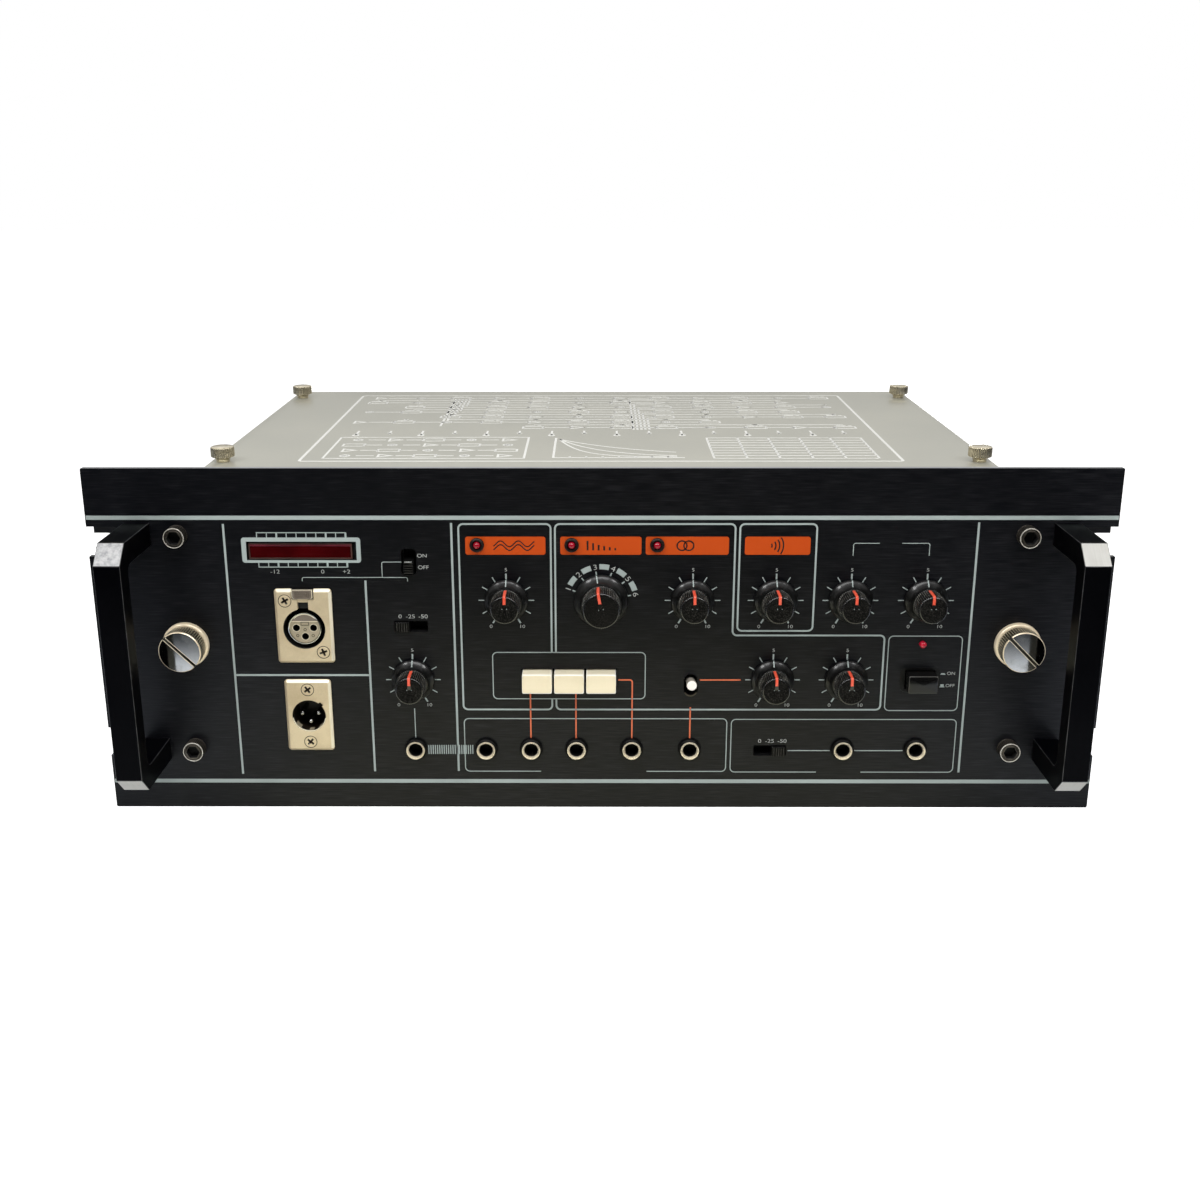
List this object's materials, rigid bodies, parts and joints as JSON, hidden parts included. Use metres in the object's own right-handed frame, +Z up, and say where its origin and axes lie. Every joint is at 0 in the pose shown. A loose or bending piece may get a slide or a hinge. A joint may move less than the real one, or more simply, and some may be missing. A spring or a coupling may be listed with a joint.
{
  "type": "tape echo unit",
  "caption": "Rack-width tape echo with a black control panel, bar handles, knobs, jacks, push buttons, a sheet case and a lift-off lid over its tape deck.",
  "frame": {"origin": "centre of the rack plate's rear face, which lies on the rack's rails", "axes": "+Z up, +Y to the rear of the unit, +X to the right seen from the front"},
  "size_m": [0.4826, 0.3875, 0.172],
  "materials": {
    "dress_panel": "black brushed anodised aluminium",
    "rack_plate": "black anodised aluminium with bare edges",
    "panel_handles": "black anodised aluminium with bright machined bevels",
    "panel_fasteners": "black oxide steel",
    "potentiometers": "plated steel",
    "push_switch_bodies": "black plastic",
    "small_switch_bodies": "black plastic",
    "jack_bodies": "plated bushing and black body",
    "jack_nuts": "black ring nut",
    "lamp_holders": "black plastic",
    "lamps": "clear dark red",
    "meter_window": "dark red filter",
    "input_socket_shell": "satin nickel",
    "input_socket_insert": "grey insert",
    "output_plug_shell": "satin nickel",
    "output_plug_pins": "silver plate",
    "connector_screws": "bright plated steel",
    "chassis_tray": "grey painted sheet steel",
    "rubber_feet": "black rubber",
    "mains_inlet": "black plastic",
    "tape_deck": "satin aluminium",
    "tape_loop": "dark brown tape",
    "tape_guides": "polished steel",
    "tape_heads": "screened metal",
    "tank_cover": "clear smoked acrylic",
    "drive_motor": "plated steel",
    "drive_belt": "black rubber",
    "reverb_tank": "plated steel",
    "reverb_springs": "spring steel",
    "main_board": "green laminate",
    "power_transformer": "varnished laminations",
    "input_volume_knob": "black, glossy skirt and knurled cap",
    "chorus_intensity_knob": "black, glossy skirt and knurled cap",
    "sound_volume_knob": "black, glossy skirt and knurled cap",
    "reverb_volume_knob": "black, glossy skirt and knurled cap",
    "bass_knob": "black, glossy skirt and knurled cap",
    "treble_knob": "black, glossy skirt and knurled cap",
    "echo_intensity_knob": "black, glossy skirt and knurled cap",
    "repeat_rate_knob": "black, glossy skirt and knurled cap",
    "mode_knob": "black, glossy skirt and knurled cap",
    "chorus_button": "cream plastic",
    "echo_button": "cream plastic",
    "sound_button": "cream plastic",
    "power_button": "glossy black",
    "repeat_lever": "cream plastic",
    "direct_switch_slider": "black ribbed plastic",
    "input_level_slider": "black ribbed plastic",
    "output_level_slider": "black ribbed plastic",
    "input_latch": "nickel",
    "left_thumbscrew": "bright nickel, knurled",
    "right_thumbscrew": "bright nickel, knurled",
    "top_lid": "light grey painted steel",
    "lid_screw_1": "nickel, knurled",
    "lid_screw_2": "nickel, knurled",
    "lid_screw_3": "nickel, knurled",
    "lid_screw_4": "nickel, knurled",
    "capstan_flywheel": "turned steel",
    "motor_pulley": "turned brass",
    "pinch_arm": "plated steel",
    "pinch_roller": "black rubber"
  },
  "bodies": {
    "case": {"dress_panel": "dress_panel", "rack_plate": "rack_plate", "panel_handles": "panel_handles", "panel_fasteners": "panel_fasteners", "potentiometers": "potentiometers", "push_switch_bodies": "push_switch_bodies", "small_switch_bodies": "small_switch_bodies", "jack_bodies": "jack_bodies", "jack_nuts": "jack_nuts", "lamp_holders": "lamp_holders", "lamps": "lamps", "meter_window": "meter_window", "input_socket_shell": "input_socket_shell", "input_socket_insert": "input_socket_insert", "output_plug_shell": "output_plug_shell", "output_plug_pins": "output_plug_pins", "connector_screws": "connector_screws", "chassis_tray": "chassis_tray", "rubber_feet": "rubber_feet", "mains_inlet": "mains_inlet", "tape_deck": "tape_deck", "tape_loop": "tape_loop", "tape_guides": "tape_guides", "tape_heads": "tape_heads", "tank_cover": "tank_cover", "drive_motor": "drive_motor", "drive_belt": "drive_belt", "reverb_tank": "reverb_tank", "reverb_springs": "reverb_springs", "main_board": "main_board", "power_transformer": "power_transformer"},
    "input_volume_knob": {"input_volume_knob": "input_volume_knob"},
    "chorus_intensity_knob": {"chorus_intensity_knob": "chorus_intensity_knob"},
    "sound_volume_knob": {"sound_volume_knob": "sound_volume_knob"},
    "reverb_volume_knob": {"reverb_volume_knob": "reverb_volume_knob"},
    "bass_knob": {"bass_knob": "bass_knob"},
    "treble_knob": {"treble_knob": "treble_knob"},
    "echo_intensity_knob": {"echo_intensity_knob": "echo_intensity_knob"},
    "repeat_rate_knob": {"repeat_rate_knob": "repeat_rate_knob"},
    "mode_knob": {"mode_knob": "mode_knob"},
    "chorus_button": {"chorus_button": "chorus_button"},
    "echo_button": {"echo_button": "echo_button"},
    "sound_button": {"sound_button": "sound_button"},
    "power_button": {"power_button": "power_button"},
    "repeat_lever": {"repeat_lever": "repeat_lever"},
    "direct_switch_slider": {"direct_switch_slider": "direct_switch_slider"},
    "input_level_slider": {"input_level_slider": "input_level_slider"},
    "output_level_slider": {"output_level_slider": "output_level_slider"},
    "input_latch": {"input_latch": "input_latch"},
    "left_thumbscrew": {"left_thumbscrew": "left_thumbscrew"},
    "right_thumbscrew": {"right_thumbscrew": "right_thumbscrew"},
    "top_lid": {"top_lid": "top_lid"},
    "lid_screw_1": {"lid_screw_1": "lid_screw_1"},
    "lid_screw_2": {"lid_screw_2": "lid_screw_2"},
    "lid_screw_3": {"lid_screw_3": "lid_screw_3"},
    "lid_screw_4": {"lid_screw_4": "lid_screw_4"},
    "capstan_flywheel": {"capstan_flywheel": "capstan_flywheel"},
    "motor_pulley": {"motor_pulley": "motor_pulley"},
    "pinch_arm": {"pinch_arm": "pinch_arm"},
    "pinch_roller": {"pinch_roller": "pinch_roller"}
  },
  "joints": [
    {"name": "input_volume_turn", "type": "hinge", "parent": "case", "child": "input_volume_knob", "pos_m": [-0.0908, -0.005, -0.0183], "axis": [0, 1, 0], "range_deg": [-150, 150]},
    {"name": "chorus_intensity_turn", "type": "hinge", "parent": "case", "child": "chorus_intensity_knob", "pos_m": [-0.045, -0.005, 0.022], "axis": [0, 1, 0], "range_deg": [-150, 150]},
    {"name": "sound_volume_turn", "type": "hinge", "parent": "case", "child": "sound_volume_knob", "pos_m": [0.0434, -0.005, 0.022], "axis": [0, 1, 0], "range_deg": [-150, 150]},
    {"name": "reverb_volume_turn", "type": "hinge", "parent": "case", "child": "reverb_volume_knob", "pos_m": [0.0828, -0.005, 0.022], "axis": [0, 1, 0], "range_deg": [-150, 150]},
    {"name": "bass_turn", "type": "hinge", "parent": "case", "child": "bass_knob", "pos_m": [0.1183, -0.005, 0.022], "axis": [0, 1, 0], "range_deg": [-150, 150]},
    {"name": "treble_turn", "type": "hinge", "parent": "case", "child": "treble_knob", "pos_m": [0.154, -0.005, 0.022], "axis": [0, 1, 0], "range_deg": [-150, 150]},
    {"name": "echo_intensity_turn", "type": "hinge", "parent": "case", "child": "echo_intensity_knob", "pos_m": [0.0828, -0.005, -0.0183], "axis": [0, 1, 0], "range_deg": [-150, 150]},
    {"name": "repeat_rate_turn", "type": "hinge", "parent": "case", "child": "repeat_rate_knob", "pos_m": [0.1183, -0.005, -0.0183], "axis": [0, 1, 0], "range_deg": [-150, 150]},
    {"name": "mode_turn", "type": "hinge", "parent": "case", "child": "mode_knob", "pos_m": [0, -0.005, 0.022], "axis": [0, 1, 0], "range_deg": [-60, 90]},
    {"name": "chorus_push", "type": "slide", "parent": "case", "child": "chorus_button", "axis": [0, 1, 0], "range_m": [0, 0.003], "stiffness_N_per_m": 400, "springref_m": -0.002},
    {"name": "echo_push", "type": "slide", "parent": "case", "child": "echo_button", "axis": [0, 1, 0], "range_m": [0, 0.003], "stiffness_N_per_m": 400, "springref_m": -0.002},
    {"name": "sound_push", "type": "slide", "parent": "case", "child": "sound_button", "axis": [0, 1, 0], "range_m": [0, 0.003], "stiffness_N_per_m": 400, "springref_m": -0.002},
    {"name": "power_push", "type": "slide", "parent": "case", "child": "power_button", "axis": [0, 1, 0], "range_m": [0, 0.004], "stiffness_N_per_m": 400, "springref_m": -0.002},
    {"name": "repeat_tilt", "type": "hinge", "parent": "case", "child": "repeat_lever", "pos_m": [0.0434, 0.0042, -0.0212], "axis": [1, 0, 0], "range_deg": [0, 19]},
    {"name": "direct_switch_slide", "type": "slide", "parent": "case", "child": "direct_switch_slider", "axis": [0, 0, 1], "range_m": [0, 0.0051]},
    {"name": "input_level_slide", "type": "slide", "parent": "case", "child": "input_level_slider", "axis": [1, 0, 0], "range_m": [0, 0.0083]},
    {"name": "output_level_slide", "type": "slide", "parent": "case", "child": "output_level_slider", "axis": [-1, 0, 0], "range_m": [0, 0.0083]},
    {"name": "latch_push", "type": "slide", "parent": "case", "child": "input_latch", "axis": [0, 1, 0], "range_m": [0, 0.0008], "stiffness_N_per_m": 1500, "springref_m": -0.001},
    {"name": "left_thumbscrew_turn", "type": "hinge", "parent": "case", "child": "left_thumbscrew", "pos_m": [-0.199, -0.005, 0], "axis": [0, 1, 0], "continuous": true},
    {"name": "right_thumbscrew_turn", "type": "hinge", "parent": "case", "child": "right_thumbscrew", "pos_m": [0.199, -0.005, 0], "axis": [0, 1, 0], "continuous": true},
    {"name": "lid_lift", "type": "slide", "parent": "case", "child": "top_lid", "axis": [0, 0, 1], "range_m": [0, 0.06]},
    {"name": "lid_screw_1_turn", "type": "hinge", "parent": "top_lid", "child": "lid_screw_1", "pos_m": [-0.2041, 0.102, 0.0665], "axis": [0, 0, 1], "continuous": true},
    {"name": "lid_screw_2_turn", "type": "hinge", "parent": "top_lid", "child": "lid_screw_2", "pos_m": [0.2041, 0.102, 0.0665], "axis": [0, 0, 1], "continuous": true},
    {"name": "lid_screw_3_turn", "type": "hinge", "parent": "top_lid", "child": "lid_screw_3", "pos_m": [-0.2041, 0.312, 0.0665], "axis": [0, 0, 1], "continuous": true},
    {"name": "lid_screw_4_turn", "type": "hinge", "parent": "top_lid", "child": "lid_screw_4", "pos_m": [0.2041, 0.312, 0.0665], "axis": [0, 0, 1], "continuous": true},
    {"name": "capstan_spin", "type": "hinge", "parent": "case", "child": "capstan_flywheel", "pos_m": [0.112, 0.09555, 0], "axis": [0, 0, 1], "continuous": true},
    {"name": "motor_spin", "type": "hinge", "parent": "case", "child": "motor_pulley", "pos_m": [0.04, 0.09555, -0.009], "axis": [0, 0, 1], "continuous": true},
    {"name": "pinch_swing", "type": "hinge", "parent": "case", "child": "pinch_arm", "pos_m": [0.076, 0.124, 0.0323], "axis": [0, 0, 1], "range_deg": [0, 12], "stiffness_Nm_per_rad": 0.5, "springref_deg": -17.19},
    {"name": "pinch_spin", "type": "hinge", "parent": "pinch_arm", "child": "pinch_roller", "pos_m": [0.112, 0.11045, 0.0376], "axis": [0, 0, 1], "continuous": true}
  ],
  "couplings": [
    {"joint": "motor_spin", "follows": "capstan_spin", "ratio": 4},
    {"joint": "pinch_spin", "follows": "capstan_spin", "ratio": -0.4}
  ]
}
